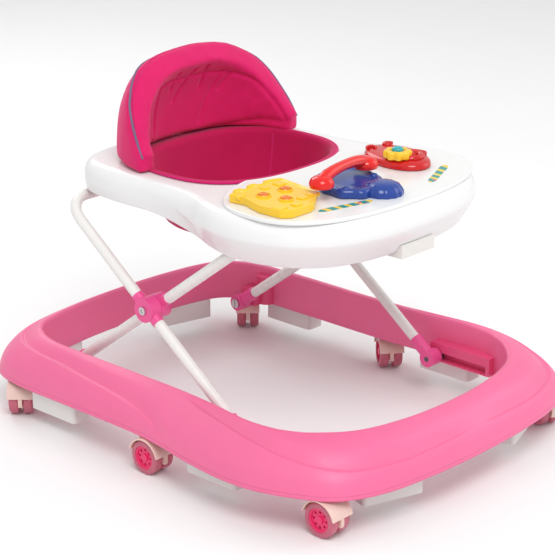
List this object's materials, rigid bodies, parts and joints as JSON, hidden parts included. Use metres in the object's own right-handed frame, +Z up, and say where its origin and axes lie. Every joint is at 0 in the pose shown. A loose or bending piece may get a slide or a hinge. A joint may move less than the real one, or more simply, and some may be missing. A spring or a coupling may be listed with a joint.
{
  "type": "baby walker",
  "caption": "Height-folding baby walker: moulded ring on swivel casters, crossed tubes, toy tray, sling seat and padded backrest.",
  "frame": {"origin": "on the floor under the middle of the base ring", "axes": "+Z up, the child faces -Y, +X to the child's left"},
  "size_m": [0.6166, 0.7673, 0.5462],
  "materials": {
    "ring_pink": "satin",
    "pad_white": "matt",
    "fitting_pink": "satin",
    "screw_steel": "plated",
    "hood_cream": "satin",
    "axle_steel": "plated",
    "tyre_clear": "clear soft plastic",
    "hub_pink": "gloss",
    "tube_white": "powder coat",
    "knuckle_pink": "satin",
    "slider_grey": "matt",
    "tray_white": "gloss",
    "latch_white": "satin",
    "seat_fabric": "woven polyester",
    "backrest_fabric": "woven polyester, padded",
    "castle_yellow": "gloss",
    "button_orange": "gloss",
    "phone_blue": "gloss",
    "handset_red": "gloss",
    "snail_red": "gloss",
    "gear_yellow": "gloss",
    "sticker_print": "printed film"
  },
  "bodies": {
    "base": {"base_ring": "ring_pink", "stop_pads": "pad_white", "slide_rack_left": "fitting_pink", "slide_rack_right": "fitting_pink", "pivot_block_left": "fitting_pink", "pivot_block_right": "fitting_pink", "pivot_screws": "screw_steel"},
    "caster_front_left": {"caster_front_left_hood": "hood_cream", "caster_front_left_axle": "axle_steel"},
    "wheels_front_left": {"caster_front_left_tyres": "tyre_clear", "caster_front_left_hubs": "hub_pink"},
    "caster_front_right": {"caster_front_right_hood": "hood_cream", "caster_front_right_axle": "axle_steel"},
    "wheels_front_right": {"caster_front_right_tyres": "tyre_clear", "caster_front_right_hubs": "hub_pink"},
    "caster_middle_left": {"caster_middle_left_hood": "hood_cream", "caster_middle_left_axle": "axle_steel"},
    "wheels_middle_left": {"caster_middle_left_tyres": "tyre_clear", "caster_middle_left_hubs": "hub_pink"},
    "caster_middle_right": {"caster_middle_right_hood": "hood_cream", "caster_middle_right_axle": "axle_steel"},
    "wheels_middle_right": {"caster_middle_right_tyres": "tyre_clear", "caster_middle_right_hubs": "hub_pink"},
    "caster_rear_left": {"caster_rear_left_hood": "hood_cream", "caster_rear_left_axle": "axle_steel"},
    "wheels_rear_left": {"caster_rear_left_tyres": "tyre_clear", "caster_rear_left_hubs": "hub_pink"},
    "caster_rear_right": {"caster_rear_right_hood": "hood_cream", "caster_rear_right_axle": "axle_steel"},
    "wheels_rear_right": {"caster_rear_right_tyres": "tyre_clear", "caster_rear_right_hubs": "hub_pink"},
    "front_frame": {"front_bar_tube": "tube_white", "rear_foot_left": "knuckle_pink", "rear_foot_right": "knuckle_pink", "inner_knuckle_left": "knuckle_pink", "inner_knuckle_right": "knuckle_pink"},
    "rear_frame": {"rear_bar_tube": "tube_white", "front_foot_left": "knuckle_pink", "front_foot_right": "knuckle_pink", "outer_knuckle_left": "knuckle_pink", "outer_knuckle_right": "knuckle_pink", "crossing_bolts": "screw_steel"},
    "slider_left": {"slider_left": "slider_grey"},
    "slider_right": {"slider_right": "slider_grey"},
    "tray": {"tray_shell": "tray_white", "toy_panel": "tray_white", "rear_bar_clips": "latch_white", "latch_housing": "latch_white", "seat_sling": "seat_fabric", "backrest": "backrest_fabric", "castle_toy": "castle_yellow", "phone_base": "phone_blue", "snail_toy": "snail_red", "stickers": "sticker_print"},
    "latch_lever": {"latch_lever": "latch_white"},
    "castle_button_1": {"castle_button_1": "button_orange"},
    "castle_button_2": {"castle_button_2": "button_orange"},
    "castle_button_3": {"castle_button_3": "button_orange"},
    "handset": {"handset": "handset_red"},
    "spinning_gear": {"spinning_gear": "gear_yellow"}
  },
  "joints": [
    {"name": "swivel_front_left", "type": "hinge", "parent": "base", "child": "caster_front_left", "pos_m": [-0.247, -0.298, 0.055], "axis": [0, 0, 1], "continuous": true},
    {"name": "roll_front_left", "type": "hinge", "parent": "caster_front_left", "child": "wheels_front_left", "pos_m": [-0.247, -0.313, 0.025], "axis": [1, 0, 0], "continuous": true},
    {"name": "swivel_front_right", "type": "hinge", "parent": "base", "child": "caster_front_right", "pos_m": [0.247, -0.298, 0.055], "axis": [0, 0, 1], "continuous": true},
    {"name": "roll_front_right", "type": "hinge", "parent": "caster_front_right", "child": "wheels_front_right", "pos_m": [0.24187, -0.3121, 0.025], "axis": [0.9397, -0.342, 0], "continuous": true},
    {"name": "swivel_middle_left", "type": "hinge", "parent": "base", "child": "caster_middle_left", "pos_m": [-0.268, 0.01, 0.055], "axis": [0, 0, 1], "continuous": true},
    {"name": "roll_middle_left", "type": "hinge", "parent": "caster_middle_left", "child": "wheels_middle_left", "pos_m": [-0.268, -0.005, 0.025], "axis": [1, 0, 0], "continuous": true},
    {"name": "swivel_middle_right", "type": "hinge", "parent": "base", "child": "caster_middle_right", "pos_m": [0.268, 0.01, 0.055], "axis": [0, 0, 1], "continuous": true},
    {"name": "roll_middle_right", "type": "hinge", "parent": "caster_middle_right", "child": "wheels_middle_right", "pos_m": [0.25836, -0.00149, 0.025], "axis": [0.766, -0.6428, 0], "continuous": true},
    {"name": "swivel_rear_left", "type": "hinge", "parent": "base", "child": "caster_rear_left", "pos_m": [-0.247, 0.298, 0.055], "axis": [0, 0, 1], "continuous": true},
    {"name": "roll_rear_left", "type": "hinge", "parent": "caster_rear_left", "child": "wheels_rear_left", "pos_m": [-0.25815, 0.28796, 0.025], "axis": [0.6691, -0.7431, 0], "continuous": true},
    {"name": "swivel_rear_right", "type": "hinge", "parent": "base", "child": "caster_rear_right", "pos_m": [0.247, 0.298, 0.055], "axis": [0, 0, 1], "continuous": true},
    {"name": "roll_rear_right", "type": "hinge", "parent": "caster_rear_right", "child": "wheels_rear_right", "pos_m": [0.23603, 0.28777, 0.025], "axis": [0.682, -0.7314, 0], "continuous": true},
    {"name": "fold", "type": "hinge", "parent": "base", "child": "front_frame", "pos_m": [0, 0.25511, 0.064], "axis": [1, 0, 0], "range_deg": [0, 25]},
    {"name": "crossing", "type": "hinge", "parent": "front_frame", "child": "rear_frame", "pos_m": [0, 0.064, 0.20801], "axis": [1, 0, 0], "range_deg": [-50, 0]},
    {"name": "slider_left_tilt", "type": "hinge", "parent": "rear_frame", "child": "slider_left", "pos_m": [-0.205, -0.12711, 0.064], "axis": [1, 0, 0], "range_deg": [0, 25]},
    {"name": "slider_right_tilt", "type": "hinge", "parent": "rear_frame", "child": "slider_right", "pos_m": [0.205, -0.12711, 0.064], "axis": [1, 0, 0], "range_deg": [0, 25]},
    {"name": "tray_level", "type": "hinge", "parent": "rear_frame", "child": "tray", "pos_m": [0, 0.23171, 0.33439], "axis": [1, 0, 0], "range_deg": [0, 25]},
    {"name": "latch_pull", "type": "slide", "parent": "tray", "child": "latch_lever", "axis": [0, -1, 0], "range_m": [0, 0.006], "stiffness_N_per_m": 300, "springref_m": -0.002},
    {"name": "button_1_press", "type": "slide", "parent": "tray", "child": "castle_button_1", "axis": [0, 0, -1], "range_m": [0, 0.0025], "stiffness_N_per_m": 400, "springref_m": -0.001},
    {"name": "button_2_press", "type": "slide", "parent": "tray", "child": "castle_button_2", "axis": [0, 0, -1], "range_m": [0, 0.0025], "stiffness_N_per_m": 400, "springref_m": -0.001},
    {"name": "button_3_press", "type": "slide", "parent": "tray", "child": "castle_button_3", "axis": [0, 0, -1], "range_m": [0, 0.0025], "stiffness_N_per_m": 400, "springref_m": -0.001},
    {"name": "handset_lift", "type": "slide", "parent": "tray", "child": "handset", "axis": [0, 0, 1], "range_m": [0, 0.08]},
    {"name": "gear_spin", "type": "hinge", "parent": "tray", "child": "spinning_gear", "pos_m": [0.1, -0.138, 0.4064], "axis": [0, 0, 1], "continuous": true}
  ],
  "couplings": [
    {"joint": "crossing", "follows": "fold", "ratio": -2},
    {"joint": "slider_left_tilt", "follows": "fold", "ratio": 1},
    {"joint": "slider_right_tilt", "follows": "fold", "ratio": 1},
    {"joint": "tray_level", "follows": "fold", "ratio": 1}
  ]
}
